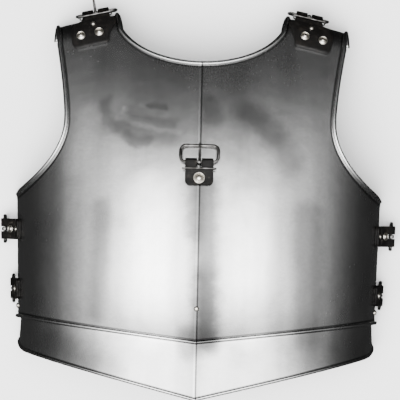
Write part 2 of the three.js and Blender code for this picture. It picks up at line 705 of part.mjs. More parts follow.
export default part;
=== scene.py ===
# A steel breastplate with a waist lame and leather buckle straps, lying with its hollow side down.
# Lengths are in millimetres until a mesh is made. x is across, y runs up the body from the lame's tip,
# and z is the front.
from math import cos, sin, pi, radians, hypot

import bpy
import numpy as np
from mathutils import Matrix, Vector


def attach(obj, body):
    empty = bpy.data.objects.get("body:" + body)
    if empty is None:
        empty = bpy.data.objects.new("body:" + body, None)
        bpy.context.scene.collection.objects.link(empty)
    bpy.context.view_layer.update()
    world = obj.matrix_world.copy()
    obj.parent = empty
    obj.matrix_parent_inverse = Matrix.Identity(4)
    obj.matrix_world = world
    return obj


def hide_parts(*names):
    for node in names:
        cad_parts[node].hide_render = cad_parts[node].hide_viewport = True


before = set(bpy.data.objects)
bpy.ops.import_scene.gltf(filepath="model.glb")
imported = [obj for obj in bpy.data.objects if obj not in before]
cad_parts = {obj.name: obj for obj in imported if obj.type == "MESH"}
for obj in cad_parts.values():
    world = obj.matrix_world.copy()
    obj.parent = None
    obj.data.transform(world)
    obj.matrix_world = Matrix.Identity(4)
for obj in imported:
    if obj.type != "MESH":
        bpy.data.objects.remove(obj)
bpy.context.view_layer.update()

# The camera looks straight down on the plate from far off, turned a little, as the photograph was taken.
PIXEL = 1.1
CAMERA_FROM = (1.5, -5.0, 4070)
CAMERA_ROLL = 1.2
IMAGE_PLANE_Z = 70

lens = bpy.data.cameras.new("camera")
lens.sensor_width = 36
lens.lens = lens.sensor_width * (CAMERA_FROM[2] - IMAGE_PLANE_Z) / (400 * PIXEL)
lens.clip_end = 20
camera = bpy.data.objects.new("camera", lens)
camera.location = [length / 1000 for length in CAMERA_FROM]
camera.rotation_euler = (0, 0, radians(CAMERA_ROLL))
bpy.context.scene.collection.objects.link(camera)
bpy.context.scene.camera = camera


class Wire:
    """A socket's value in a node tree. Python's operators on it add Math nodes."""

    def __init__(self, tree, socket=None):
        self.tree = tree
        self.socket = socket

    def node(self, kind, settings, inputs, output=0):
        made = self.tree.nodes.new(kind)
        for name, value in settings.items():
            if name == "stops":
                set_stops(made.color_ramp, value)
            else:
                setattr(made, name, value)
        for key, value in inputs.items():
            if isinstance(value, Wire):
                self.tree.links.new(value.socket, made.inputs[key])
            else:
                made.inputs[key].default_value = value
        return Wire(self.tree, made.outputs[output])

    def math(self, operation, *values):
        return self.node("ShaderNodeMath", {"operation": operation}, dict(enumerate(values)))

    def __add__(self, other):
        return self.math("ADD", self, other)

    def __sub__(self, other):
        return self.math("SUBTRACT", self, other)

    def __rsub__(self, other):
        return self.math("SUBTRACT", other, self)

    def __mul__(self, other):
        return self.math("MULTIPLY", self, other)

    def __truediv__(self, other):
        return self.math("DIVIDE", self, other)

    def __pow__(self, other):
        return self.math("POWER", self, other)

    __radd__ = __add__
    __rmul__ = __mul__

    def size(self):
        return self.math("ABSOLUTE", self)

    def step(self, low, high):
        """Runs smoothly from 0 to 1 as this value goes from low to high."""
        settings = {"interpolation_type": "SMOOTHSTEP"}
        return self.node("ShaderNodeMapRange", settings, {"Value": self, "From Min": low, "From Max": high})

    def mix(self, low, high):
        """A colour from low to high, by this value."""
        return self.node("ShaderNodeMix", {"data_type": "RGBA"}, {"Factor": self, 6: low, 7: high}, 2)

    def noise(self, scale, detail=3, roughness=0.5):
        inputs = {"Vector": self, "Scale": scale, "Detail": detail, "Roughness": roughness}
        return self.node("ShaderNodeTexNoise", {}, inputs)

    def stretched(self, x, y, z):
        """This vector with each of its directions scaled."""
        return self.node("ShaderNodeVectorMath", {"operation": "MULTIPLY"}, {0: self, 1: (x, y, z)})

    def part(self, index):
        return self.node("ShaderNodeSeparateXYZ", {}, {0: self}, index)


def set_stops(ramp, stops):
    for index, (position, grey) in enumerate(stops):
        stop = ramp.elements[index] if index < 2 else ramp.elements.new(position)
        stop.position = position
        stop.color = (grey, grey, grey, 1)


# The studio is a soft light overhead that fades to a dark horizon, and it is shaded beyond the neck.
# The floor is a pale sheet that the steel doesn't mirror.
BRIGHT_AXIS = (-0.03, -0.12, 0.992)
SKY = [(0, 0.03), (0.26, 0.035), (0.40, 0.045), (0.49, 0.075), (0.60, 0.13), (0.66, 0.2), (0.74, 0.45),
       (0.80, 0.85), (0.88, 1.5), (0.91, 2.6), (0.94, 5.0), (0.975, 8.5), (1.0, 9.5)]
NECK_SHADE = {"from": 0.36, "to": 0.64, "depth": 0.87}
OVERHEAD_FROM = (-0.6, -0.9, 2.6)
FLOOR_REACH = 4

sky = bpy.data.worlds.new("studio")
sky.use_nodes = True
bpy.context.scene.world = sky
studio = Wire(sky.node_tree)
direction = studio.node("ShaderNodeTexCoord", {}, {}, 0)
toward_light = {0: direction, 1: BRIGHT_AXIS}
height = studio.node("ShaderNodeVectorMath", {"operation": "DOT_PRODUCT"}, toward_light, 1)
glow = studio.node("ShaderNodeValToRGB", {"stops": SKY}, {0: height * 0.5 + 0.5})
shade = 1 - NECK_SHADE["depth"] * direction.part(1).step(NECK_SHADE["from"], NECK_SHADE["to"])
background = sky.node_tree.nodes["Background"]
sky.node_tree.links.new(glow.socket, background.inputs["Color"])
sky.node_tree.links.new(shade.socket, background.inputs["Strength"])

overhead = bpy.data.lights.new("overhead", "AREA")
overhead.shape = "DISK"
overhead.size = 2.2
overhead.energy = 150
overhead_lamp = bpy.data.objects.new("overhead", overhead)
overhead_lamp.location = OVERHEAD_FROM
overhead_lamp.rotation_euler = Vector(OVERHEAD_FROM).to_track_quat("Z", "Y").to_euler()
overhead_lamp.visible_glossy = False
bpy.context.scene.collection.objects.link(overhead_lamp)

floor_mesh = bpy.data.meshes.new("floor")
floor_corners = [(x * FLOOR_REACH, y * FLOOR_REACH, 0) for x, y in ((-1, -1), (1, -1), (1, 1), (-1, 1))]
floor_mesh.from_pydata(floor_corners, [], [(0, 1, 2, 3)])
floor = bpy.data.objects.new("floor", floor_mesh)
bpy.context.scene.collection.objects.link(floor)
floor.visible_glossy = False
floor_paint = bpy.data.materials.new("floor")
floor_paint.use_nodes = True
floor_shader = floor_paint.node_tree.nodes["Principled BSDF"]
floor_shader.inputs["Base Color"].default_value = (0.9, 0.9, 0.9, 1)
floor_shader.inputs["Roughness"].default_value = 0.9
floor_mesh.materials.append(floor_paint)

# The breastplate is one sheet of 1.5 mm steel, raised to a sharp ridge and rolled back over the shoulders.
# Its neck, arm and waist edges are turned outward, and its face is brushed, a little stained, and painted
# with some shade and highlights.
STEEL = 1.5
SECTION_POWER = 2.4
BELLY = {"y": 150, "z": 147, "fall_above": 0.00121, "fall_below": 0.0025}
CREASE = {"reach": 25, "at_belly": 4.5, "at_neck": 1.5}
NECK = {"half_width": 93.5, "bottom_y": 371, "top_y": 425}
WAIST = {"centre_y": 63, "corner_y": 86, "half_width": 199}
ARMPIT = {"x": 203, "y": 222}
ARMHOLE = {"narrow_x": 148.5, "turn_y": 305, "rise_y": 309, "crest_x": 163, "crest_y": 407,
           "rise_power": 1.4}
ROLL = {"inner_x": 87.5, "inner_y": 406, "outer_x": 159.3, "outer_y": 388.5, "end_angle": 145,
        "end_z": 0.2}
ROLL_EDGE = {"inner_grow": 6.5, "outer_grow": 6.2}
FLARE = {"height": 1.3, "width": 5, "fades_below": 25}
ROLLED = {"neck": 2.1, "arm": 2.1, "waist": 1.8, "lame": 1.5}
NECK_ANGLE = {"waist_corner": 24, "armpit": 36}
LINES = {"ridge": 8, "waist": 78, "side": 20, "armhole": 36, "roll": 32}
POINTS_ACROSS = 72
MIDDLE_Y = 224.3498
FLOOR_Z = -0.1372


def lerp(low, high, f):
    return low + (high - low) * f


def smoothstep(value, low, high):
    f = np.clip((value - low) / (high - low), 0, 1)
    return f * f * (3 - 2 * f)


def ridge_height(y):
    fall = np.where(np.asarray(y) > BELLY["y"], BELLY["fall_above"], BELLY["fall_below"])
    return BELLY["z"] - fall * (y - BELLY["y"]) ** 2


def crease_height(y):
    return lerp(CREASE["at_belly"], CREASE["at_neck"], smoothstep(y, BELLY["y"], NECK["bottom_y"]))


def side_x(y):
    f = np.clip((y - WAIST["corner_y"]) / (ARMPIT["y"] - WAIST["corner_y"]), 0, 1)
    return lerp(WAIST["half_width"], ARMPIT["x"], f)


def arch_height(x, half_width, top, crease):
    t = np.minimum(np.abs(x) / half_width, 1)
    arch = (1 - t ** SECTION_POWER) ** (1 / SECTION_POWER)
    return (top - crease) * arch + crease * np.exp(-np.abs(x) / CREASE["reach"])


def plate_height(x, y):
    return arch_height(x, side_x(y), ridge_height(y), crease_height(y))


def waist_y(x):
    return lerp(WAIST["centre_y"], WAIST["corner_y"], min(abs(x) / WAIST["half_width"], 1))


def neck_edge(degrees):
    depth = NECK["top_y"] - NECK["bottom_y"]
    return (NECK["half_width"] * sin(radians(degrees)), NECK["top_y"] - depth * cos(radians(degrees)))


def armhole_x(y):
    if y < ARMHOLE["turn_y"]:
        low = (ARMHOLE["turn_y"] - y) / (ARMHOLE["turn_y"] - ARMPIT["y"])
        return ARMHOLE["narrow_x"] + (ARMPIT["x"] - ARMHOLE["narrow_x"]) * low ** 2
    high = max(0, (y - ARMHOLE["rise_y"]) / (ARMHOLE["crest_y"] - ARMHOLE["rise_y"]))
    return ARMHOLE["narrow_x"] + (ARMHOLE["crest_x"] - ARMHOLE["narrow_x"]) * high ** ARMHOLE["rise_power"]


def roll_start_y(x):
    f = (x - ROLL["inner_x"]) / (ROLL["outer_x"] - ROLL["inner_x"])
    return lerp(ROLL["inner_y"], ROLL["outer_y"], f)


def shoulder_arc(x):
    y = roll_start_y(x)
    z = plate_height(x, y)
    start = np.arctan(plate_height(x, y - 0.5) - plate_height(x, y + 0.5))
    end = radians(ROLL["end_angle"])
    return y, z, start, (z - ROLL["end_z"]) / (np.cos(start) - cos(end))


def shoulder_point(x, angle):
    y, z, start, radius = shoulder_arc(np.abs(x))
    y = y + radius * (np.sin(angle) - np.sin(start))
    z = z + radius * (np.cos(angle) - np.cos(start))
    return np.stack([x * np.ones_like(y), y, z], -1)


neck_depth = NECK["top_y"] - NECK["bottom_y"]
neck_angle_at_roll = np.degrees(np.arccos((NECK["top_y"] - ROLL["inner_y"]) / neck_depth))
armhole_ys = [lerp(ARMPIT["y"], ROLL["outer_y"], i / 32) for i in range(33)]
turned_edges = {
    "neck": [neck_edge(neck_angle_at_roll * i / 24) for i in range(25)],
    "arm": [(armhole_x(y), y) for y in armhole_ys],
    "waist": [(0, WAIST["centre_y"]), (WAIST["half_width"], WAIST["corner_y"])],
}


def distance_to_edge(points, edge):
    least = np.full(len(points), np.inf)
    for start, end in zip(edge, edge[1:]):
        start, run = np.array(start), np.array(end) - np.array(start)
        f = np.clip(((points - start) @ run) / (run @ run), 0, 1)
        least = np.minimum(least, np.linalg.norm(points - start - f[:, None] * run, axis=1))
    return least


def flare_height(distance):
    return FLARE["height"] * np.maximum(0, 1 - distance / FLARE["width"]) ** 2


def raised_points(points, lift):
    """Points on the plate's face above flat points, lifted off it along its normal."""
    x, y = points[:, 0], points[:, 1]
    slope_x = plate_height(x + 0.5, y) - plate_height(np.maximum(x - 0.5, 0), y)
    slope_x = np.where(x == 0, 0, slope_x)
    slope_y = plate_height(x, y + 0.5) - plate_height(x, y - 0.5)
    normal = np.stack([-slope_x, -slope_y, np.ones_like(x)], -1)
    normal /= np.linalg.norm(normal, axis=1, keepdims=True)
    return np.stack([x, y, plate_height(x, y)], -1) + normal * lift[:, None]


def steps_across(length):
    near = [step / length for step in (0, 0.8, 1.7, 2.7, 3.8, 5, 6.2, 7.5)]
    middle = np.linspace(near[-1], 1 - near[-1], POINTS_ACROSS + 1)[1:-1]
    return np.array([*near, *middle, *(1 - f for f in reversed(near))])


def with_edge(points, from_edge):
    """Each point's fourth number is its distance from the nearest turned edge, in radii of its roll."""
    return np.concatenate([points, from_edge[:, None]], axis=1)


def flat_line(neck, outer, bow):
    """A curved line over the plate from its neck edge to its outer edge, with even steps along it."""
    bend = np.array([lerp(neck[0], outer[0], 0.5), lerp(neck[1], outer[1], bow)])
    f = np.linspace(0, 1, 401)[:, None]
    curve = (1 - f) ** 2 * np.array(neck) + 2 * f * (1 - f) * bend + f ** 2 * np.array(outer)
    run = np.concatenate([[0], np.cumsum(np.linalg.norm(np.diff(curve, axis=0), axis=1))])
    wanted = steps_across(run[-1]) * run[-1]
    points = np.stack([np.interp(wanted, run, curve[:, 0]), np.interp(wanted, run, curve[:, 1])], -1)
    points[:, 0] = np.maximum(points[:, 0], 0)
    distances = {name: distance_to_edge(points, edge) for name, edge in turned_edges.items()}
    flare = flare_height(np.min(list(distances.values()), axis=0))
    flare *= smoothstep(plate_height(points[:, 0], points[:, 1]), 0, FLARE["fades_below"])
    from_edge = np.min([distances[name] / ROLLED[name] for name in distances], axis=0)
    return with_edge(raised_points(points, flare), from_edge)


def roll_line(f):
    inner = ROLL["inner_x"] + ROLL_EDGE["inner_grow"] * sin(f * pi / 2)
    outer = ROLL["outer_x"] + ROLL_EDGE["outer_grow"] * f
    x = lerp(inner, outer, steps_across(outer - inner))
    start = shoulder_arc(x)[2]
    angle = lerp(start, radians(ROLL["end_angle"]), f)
    lift = flare_height(np.minimum(x - inner, outer - x)) * (1 - smoothstep(f, 0, 0.4))
    points = shoulder_point(x, angle)
    points[:, 1] += lift * np.sin(angle)
    points[:, 2] = np.maximum(points[:, 2] + lift * np.cos(angle), ROLL["end_z"])
    return with_edge(points, np.minimum((x - inner) / ROLLED["neck"], (outer - x) / ROLLED["arm"]))


across_waist = [0.0035 * i for i in range(LINES["ridge"])]
first_turn = (across_waist[-1] + 0.004) ** (SECTION_POWER / 2)
across_waist += [sin(lerp(first_turn, pi / 2, i / LINES["waist"])) ** (2 / SECTION_POWER)
                 for i in range(LINES["waist"] + 1)]


def half_plate_lines():
    lines = []
    for f in across_waist:
        x = f * WAIST["half_width"]
        lines.append(flat_line(neck_edge(NECK_ANGLE["waist_corner"] * f), (x, waist_y(x)), 0.5))
    for i in range(LINES["side"]):
        f = (i + 1) / LINES["side"]
        y = lerp(WAIST["corner_y"], ARMPIT["y"], f)
        neck = neck_edge(lerp(NECK_ANGLE["waist_corner"], NECK_ANGLE["armpit"], f))
        lines.append(flat_line(neck, (float(side_x(y)), y), lerp(0.5, 1.03, f)))
    for i in range(LINES["armhole"]):
        f = (i + 1) / LINES["armhole"]
        y = lerp(ARMPIT["y"], ROLL["outer_y"], f)
        neck = neck_edge(lerp(NECK_ANGLE["armpit"], neck_angle_at_roll, f))
        lines.append(flat_line(neck, (armhole_x(y), y), lerp(1.03, 0.5, f)))
    lines += [roll_line((i + 1) / LINES["roll"]) for i in range(LINES["roll"])]
    return np.array(lines)


def mirrored(lines):
    return np.concatenate([(lines[1:] * (-1, 1, 1, 1))[::-1], lines])


def metres(points):
    """Millimetres from the lame's tip, as metres in the part's own frame."""
    return (np.asarray(points, float) - (0, MIDDLE_Y, FLOOR_Z)) / 1000


def new_object(name, points, faces):
    mesh = bpy.data.meshes.new(name)
    mesh.from_pydata([tuple(point) for point in metres(points)], [], [tuple(face) for face in faces])
    mesh.update()
    made = bpy.data.objects.new(name, mesh)
    bpy.context.scene.collection.objects.link(made)
    mesh.shade_smooth()
    return made


def sheet_object(name, grid, thickness):
    """A sheet through a grid of points, with its wall on the inner side and a sharp line along x = 0."""
    rows, columns = grid.shape[:2]
    index = np.arange(rows * columns).reshape(rows, columns)
    quads = np.stack([index[:-1, :-1], index[:-1, 1:], index[1:, 1:], index[1:, :-1]], -1).reshape(-1, 4)
    flat = grid[:, :, :3].reshape(-1, 3)
    cross = np.cross(flat[quads[:, 2]] - flat[quads[:, 0]], flat[quads[:, 3]] - flat[quads[:, 1]])
    if cross[:, 2].sum() < 0:
        quads, cross = quads[:, ::-1], -cross
    normals = np.zeros_like(flat)
    for corner in range(4):
        np.add.at(normals, quads[:, corner], cross)
    normals /= np.linalg.norm(normals, axis=1, keepdims=True)
    count = len(flat)
    rim = [*index[0], *index[1:, -1], *index[-1, -2::-1], *index[-2:0:-1, 0]]
    turn = [(a, b, b + count, a + count) for a, b in zip(rim, rim[1:] + rim[:1])]
    edges = {(int(face[i]), int(face[(i + 1) % 4])) for face in quads for i in range(4)}
    if (turn[0][0], turn[0][1]) in edges:
        turn = [face[::-1] for face in turn]
    faces = [*quads.tolist(), *(quads[:, ::-1] + count).tolist(), *turn]
    made = new_object(name, np.concatenate([flat, flat - normals * thickness]), faces)
    sharpen(made, rim, count)
    from_edge = made.data.attributes.new("from_edge", "FLOAT", "POINT")
    from_edge.data.foreach_set("value", np.tile(1 + grid[:, :, 3].ravel(), 2))
    return made


def sharpen(piece, rim, count):
    mesh = piece.data
    points = np.array([vertex.co for vertex in mesh.vertices])
    rim = set(rim) | {index + count for index in rim}
    sharp = mesh.attributes.new("sharp_edge", "BOOLEAN", "EDGE")
    ends = np.array([edge.vertices[:] for edge in mesh.edges])
    on_ridge = (np.abs(points[ends[:, 0], 0]) < 1e-7) & (np.abs(points[ends[:, 1], 0]) < 1e-7)
    on_rim = np.isin(ends[:, 0], list(rim)) & np.isin(ends[:, 1], list(rim))
    sharp.data.foreach_set("value", on_ridge | on_rim)


plate_grid = mirrored(half_plate_lines())
breastplate = sheet_object("breastplate_shell", plate_grid, STEEL)
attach(breastplate, "plate")
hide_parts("breastplate")

STEEL_BLACK = (0.0, 0.0, 0.0, 1)
STEEL_BRIGHT = (0.93, 0.93, 0.925, 1)
STEEL_USUAL = 0.64
WANDER = 9
# Strokes of stain and of painted light over the steel. The long strokes down the plate, the stripe beside
# the ridge among them, darken it as painted shade or, with a negative dark value, lighten it as painted
# highlights; the short strokes high on the chest are smears.
STAINS_AND_PAINTED_LIGHT = [
    {"from": (-75, 90), "to": (-30, 78), "sag": -2, "half": 1, "soft": 9, "dark": 0.35},
    {"from": (-86, 76), "to": (-30, 63), "sag": -4, "half": 1, "soft": 17, "dark": 0.45},
    {"from": (-78, 62), "to": (-58, 57), "sag": -2, "half": 3, "soft": 7, "dark": 0.4},
    {"from": (-89, 83), "to": (-22, 68), "sag": -3, "half": 0.5, "soft": 4, "dark": -0.25},
    {"from": (-82, 94), "to": (-37, 84), "sag": -2, "half": 0.5, "soft": 4, "dark": -0.2},
    {"from": (50, 90), "to": (100, 36), "sag": 4, "half": 1, "soft": 24, "dark": 0.45},
    {"from": (60, 88), "to": (78, 66), "sag": 0, "half": 3, "soft": 20, "dark": 0.2},
    {"from": (10, 100), "to": (14, 84), "sag": 0, "half": 3, "soft": 14, "dark": 0.4},
    {"from": (-105, 96), "to": (-93, 70), "sag": -3, "half": 2, "soft": 10, "dark": 0.35},
    {"from": (-55, 97), "to": (-38, 95), "sag": 0, "half": 1, "soft": 5, "dark": 0.35},
    {"from": (-120, 84), "to": (-135, 30), "sag": 0, "half": 4, "soft": 16, "dark": -0.2},
    {"from": (8, 10), "to": (12, -158), "sag": 0, "half": 4, "soft": 20, "dark": 0.72},
    {"from": (6, -90), "to": (10, -160), "sag": 0, "half": 2, "soft": 22, "dark": 0.5},
    {"from": (-8, 12), "to": (-5, -40), "sag": 0, "half": 1, "soft": 18, "dark": 0.5},
    {"from": (-10, -150), "to": (-8, -170), "sag": 0, "half": 2, "soft": 16, "dark": 0.5},
    {"from": (-56, 0), "to": (-54, -145), "sag": 0, "half": 10, "soft": 24, "dark": -0.45},
    {"from": (62, -10), "to": (58, -145), "sag": 0, "half": 8, "soft": 22, "dark": -0.4},
    {"from": (-104, -15), "to": (-108, -130), "sag": 0, "half": 3, "soft": 14, "dark": 0.35},
    {"from": (118, -20), "to": (122, -150), "sag": 0, "half": 6, "soft": 20, "dark": 0.4},
    {"from": (-150, -165), "to": (-95, -190), "sag": 0, "half": 2, "soft": 30, "dark": 0.4},
    {"from": (112, -162), "to": (150, -172), "sag": 0, "half": 2, "soft": 44, "dark": 0.35},
]


def surface(name, roughness, metallic):
    material = bpy.data.materials.new(name)
    material.use_nodes = True
    shader = material.node_tree.nodes["Principled BSDF"]
    shader.inputs["Roughness"].default_value = roughness
    shader.inputs["Metallic"].default_value = metallic
    return material, shader, Wire(material.node_tree)


def feed(shader, socket, wire):
    wire.tree.links.new(wire.socket, shader.inputs[socket])


def bump(wire, strength, distance):
    inputs = {"Strength": strength, "Distance": distance, "Height": wire}
    return wire.node("ShaderNodeBump", {}, inputs)


def stain_and_light_mask(x, y, stain_and_light_stroke):
    """1 within a bowed stroke over the plate's face, fading to 0 round it."""
    start = Vector(stain_and_light_stroke["from"]) / 1000
    run = Vector(stain_and_light_stroke["to"]) / 1000 - start
    x, y = x - start.x, y - start.y
    along = (x * run.x + y * run.y) / run.length_squared
    across = (y * run.x - x * run.y) / run.length - along * (1 - along) * (4 * stain_and_light_stroke["sag"] / 1000)
    beyond = along.math("MAXIMUM", (along - 0.5).size() - 0.5, 0) * run.length
    distance = (across ** 2 + beyond ** 2) ** 0.5
    return 1 - distance.step(stain_and_light_stroke["half"] / 1000, (stain_and_light_stroke["half"] + stain_and_light_stroke["soft"]) / 1000)


steel, steel_shader, steel_wire = surface("brushed_steel", 0.3, 1)
place = steel_wire.node("ShaderNodeTexCoord", {}, {}, "Object")
brushed = place.stretched(1, 0.12, 1).noise(420, 4, 0.6)
cloud = place.noise(9, 4, 0.55)
bands = place.stretched(1, 0.07, 0.3).noise(30, 3, 0.5)
mottle = place.stretched(0.5, 1, 1).noise(420, 4, 0.7)
brightness = STEEL_USUAL * (0.6 + 0.76 * bands) * (0.84 + 0.32 * mottle)
brightness = brightness * (1 - 0.35 * cloud.step(0.45, 0.75))
wander = place.noise(60, 3, 0.6) - 0.5
across_plate, up_plate = place.part(0), place.part(1)
for stain_and_light_stroke in STAINS_AND_PAINTED_LIGHT:
    shifted = [along_axis + wander * (WANDER / 1000) for along_axis in (across_plate, up_plate)]
    near = stain_and_light_mask(*shifted, stain_and_light_stroke)
    brightness = brightness * (1 - stain_and_light_stroke["dark"] * near)
# Painted highlight along the left of the ridge and painted shade just right of it, as light falling from
# the left would give.
painted_ridge_highlight = across_plate.step(-0.0026, -0.0014) * (1 - across_plate.step(-0.0005, 0.0002))
painted_ridge_shade = across_plate.step(-0.0002, 0.0005) * (1 - across_plate.step(0.0012, 0.0024))
brightness = brightness * (1 + 0.35 * painted_ridge_highlight) * (1 - 0.75 * painted_ridge_shade)
from_edge = steel_wire.node("ShaderNodeAttribute", {"attribute_name": "from_edge"}, {}, 2)
# Painted shade on the sheet under each rolled edge and in the groove just inside it.
painted_shade_under_roll = from_edge.step(0.5, 0.9) * (1 - from_edge.step(1.3, 1.5))
painted_shade_in_groove = from_edge.step(2.9, 3.3) * (1 - from_edge.step(3.7, 4.4))
brightness = brightness * (1 - 0.8 * painted_shade_under_roll) * (1 - 0.75 * painted_shade_in_groove)
feed(steel_shader, "Base Color", brightness.mix(STEEL_BLACK, STEEL_BRIGHT))
feed(steel_shader, "Roughness", 0.20 + 0.07 * cloud + 0.05 * brushed)
feed(steel_shader, "Normal", bump(place.noise(22, 2, 0.5), 0.12, 0.004))
breastplate.data.materials.append(steel)

# The turned edges are the sheet's own rim, rolled over a wire.
# Geometry Nodes run a round section along each rim.
ROLL_SIDES = 14
ROLL_TAPER = {"length": 14, "end": 0.35}
ROLL_SEAT = {"inset": 1.35, "sunk": 0.65, "floor_gap": 0.1}


def new_tree(name, inputs):
    tree = bpy.data.node_groups.new(name, "GeometryNodeTree")
    tree.interface.new_socket("Geometry", in_out="INPUT", socket_type="NodeSocketGeometry")
    for label, kind in inputs.items():
        tree.interface.new_socket(label, in_out="INPUT", socket_type=kind)
    tree.interface.new_socket("Geometry", in_out="OUTPUT", socket_type="NodeSocketGeometry")
    return tree, tree.nodes.new("NodeGroupInput")


def finish_tree(made, material):
    made = made.node("GeometryNodeRealizeInstances", {}, {"Geometry": made})
    made = made.node("GeometryNodeSetMaterial", {}, {"Geometry": made, "Material": material})
    made.tree.links.new(made.socket, made.tree.nodes.new("NodeGroupOutput").inputs[0])


def grown(tree, seed, values, name):
    """The plain mesh that a Geometry Nodes tree makes from a seed object."""
    modifier = seed.modifiers.new(tree.name, "NODES")
    modifier.node_group = tree
    for item in tree.interface.items_tree:
        if item.in_out == "INPUT" and item.name in values:
            modifier[item.identifier] = values[item.name]
    ready = seed.evaluated_get(bpy.context.evaluated_depsgraph_get())
    mesh = bpy.data.meshes.new_from_object(ready)
    made = bpy.data.objects.new(name, mesh)
    bpy.context.scene.collection.objects.link(made)
    bpy.data.objects.remove(seed)
    return made


roll_tree, roll_inputs = new_tree("rolled_edge",
                                  {"Radius": "NodeSocketFloat", "Material": "NodeSocketMaterial"})
roll = Wire(roll_tree)
route = roll.node("GeometryNodeMeshToCurve", {},
                  {"Mesh": Wire(roll_tree, roll_inputs.outputs["Geometry"])})
taper = roll.node("GeometryNodeInputNamedAttribute", {"data_type": "FLOAT"}, {"Name": "taper"})
route = roll.node("GeometryNodeSetCurveRadius", {}, {"Curve": route, "Radius": taper})
circle = roll.node("GeometryNodeCurvePrimitiveCircle", {},
                   {"Resolution": ROLL_SIDES, "Radius": Wire(roll_tree, roll_inputs.outputs["Radius"])})
tube = roll.node("GeometryNodeCurveToMesh", {},
                 {"Curve": route, "Profile Curve": circle, "Fill Caps": True})
finish_tree(tube, Wire(roll_tree, roll_inputs.outputs["Material"]))


def rolled_edge(name, rim, inward, radius):
    """A roll along the rim, a little above the sheet, set in from the cut edge and thinner at its ends."""
    rim, inward = rim[:, :3], inward[:, :3]
    run = np.gradient(rim, axis=0)
    out = np.cross(run, inward)
    out /= np.linalg.norm(out, axis=1, keepdims=True)
    out *= np.sign(out[len(out) // 2, 2])
    inward = inward / np.linalg.norm(inward, axis=1, keepdims=True)
    lengths = np.concatenate([[0], np.cumsum(np.linalg.norm(np.diff(rim, axis=0), axis=1))])
    to_end = np.minimum(lengths, lengths[-1] - lengths)
    taper = lerp(ROLL_TAPER["end"], 1, smoothstep(to_end, 0, ROLL_TAPER["length"]))
    raised = taper[:, None] - ROLL_SEAT["sunk"]
    centre = rim + inward * radius * ROLL_SEAT["inset"] + out * radius * raised
    centre[:, 2] = np.maximum(centre[:, 2], radius + ROLL_SEAT["floor_gap"])
    seed = new_object(name + "_route", centre, [])
    mesh = seed.data
    mesh.edges.add(len(centre) - 1)
    links = np.stack([np.arange(len(centre) - 1), np.arange(1, len(centre))], -1)
    mesh.edges.foreach_set("vertices", links.ravel())
    mesh.attributes.new("taper", "FLOAT", "POINT").data.foreach_set("value", taper)
    mesh.update()
    made = grown(roll_tree, seed, {"Radius": radius / 1000, "Material": steel}, name)
    made.data.shade_smooth()
    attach(made, "plate")
    return made


half = len(plate_grid) // 2
waist_end = len(across_waist) - 1
side_end = waist_end + LINES["side"]
rolled_edge("neck_roll", plate_grid[:, 0], plate_grid[:, 1] - plate_grid[:, 0], ROLLED["neck"])
waist_lines = plate_grid[half - waist_end:half + waist_end + 1]
rolled_edge("waist_roll", waist_lines[:, -1], waist_lines[:, -2] - waist_lines[:, -1], ROLLED["waist"])
for label, lines in (("left", plate_grid[:half - side_end + 1]), ("right", plate_grid[half + side_end:])):
    rolled_edge(label + "_arm_roll", lines[:, -1], lines[:, -2] - lines[:, -1], ROLLED["arm"])

# The waist lame is one plate tucked under the waist edge and brought to a point below it.
LAME = {"tuck_centre": 46, "tuck_side": 15, "inset": 3.2, "flare": 0.1, "spread": 0.05}
LAME_BOTTOM = {"tip_y": 1, "slope": 0.245, "corner_radius": 9}
LAME_POINTS = 34


def lame_bottom_y(x):
    radius = LAME_BOTTOM["corner_radius"]
    straight = LAME_BOTTOM["tip_y"] + LAME_BOTTOM["slope"] * abs(x)
    rounding = max(0, radius - (WAIST["half_width"] - abs(x)))
    return straight + radius - (radius ** 2 - rounding ** 2) ** 0.5


def lame_line(f):
    waist = waist_y(f * WAIST["half_width"])
    lowest = waist - lame_bottom_y(f * WAIST["half_width"])
    depth = np.linspace(-lerp(LAME["tuck_centre"], LAME["tuck_side"], f), lowest, LAME_POINTS)
    y = waist - depth
    carrier = np.maximum(y, waist)
    below = np.maximum(depth, 0)
    half_width = side_x(carrier) - LAME["inset"] + LAME["spread"] * below
    top = ridge_height(carrier) - LAME["inset"] + LAME["flare"] * below
    x = f * half_width
    points = np.stack([x, y, arch_height(x, half_width, top, crease_height(carrier))], -1)
    return with_edge(points, (lowest - depth) / ROLLED["lame"])


lame_grid = mirrored(np.array([lame_line(f) for f in across_waist]))
lame = sheet_object("waist_lame_shell", lame_grid, STEEL)
lame.data.materials.append(steel)
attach(lame, "plate")
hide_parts("waist_lame")

rolled_edge("lame_roll", lame_grid[:, -1], lame_grid[:, -2] - lame_grid[:, -1], ROLLED["lame"])

# Each strap is black leather, 2 mm thick, folded round a buckle bar, with its two layers riveted together.
# d runs back along a strap from the bar and h is the height over the steel.
LEATHER = 2
GAP = 0.3
BAR = {"radius": 1.5, "play": 0.6}
KEEPER_WIRE = 0.8
CHEST_STRAP = {"half": 15.4, "root_half": 15.4, "length": 25.5, "rivet": 18}
SHOULDER_STRAP = {"half": 15, "root_half": 21, "length": 45.5, "rivet": 32}
UPPER_STRAP = {"half": 11.5, "root_half": 11.5, "length": 34, "rivet": 28}
LOWER_STRAP = {"half": 11.5, "root_half": 11.5, "length": 23, "rivet": 13}
BAR_HEIGHT = GAP + LEATHER + BAR["radius"] + BAR["play"]
LAYERS = 2 * LEATHER + 2 * GAP
STRAP_EDGE = [(0, 0.75), (0.25, 0.3), (0.8, 0)]
STRAP_SECTIONS = 14
CLIP = {"length": 5, "cut": 0.12}
WIDENS = {"from": 11, "to": 19}
SLOT = {"width": 5.4, "back": 7, "front": 6, "height": 16}


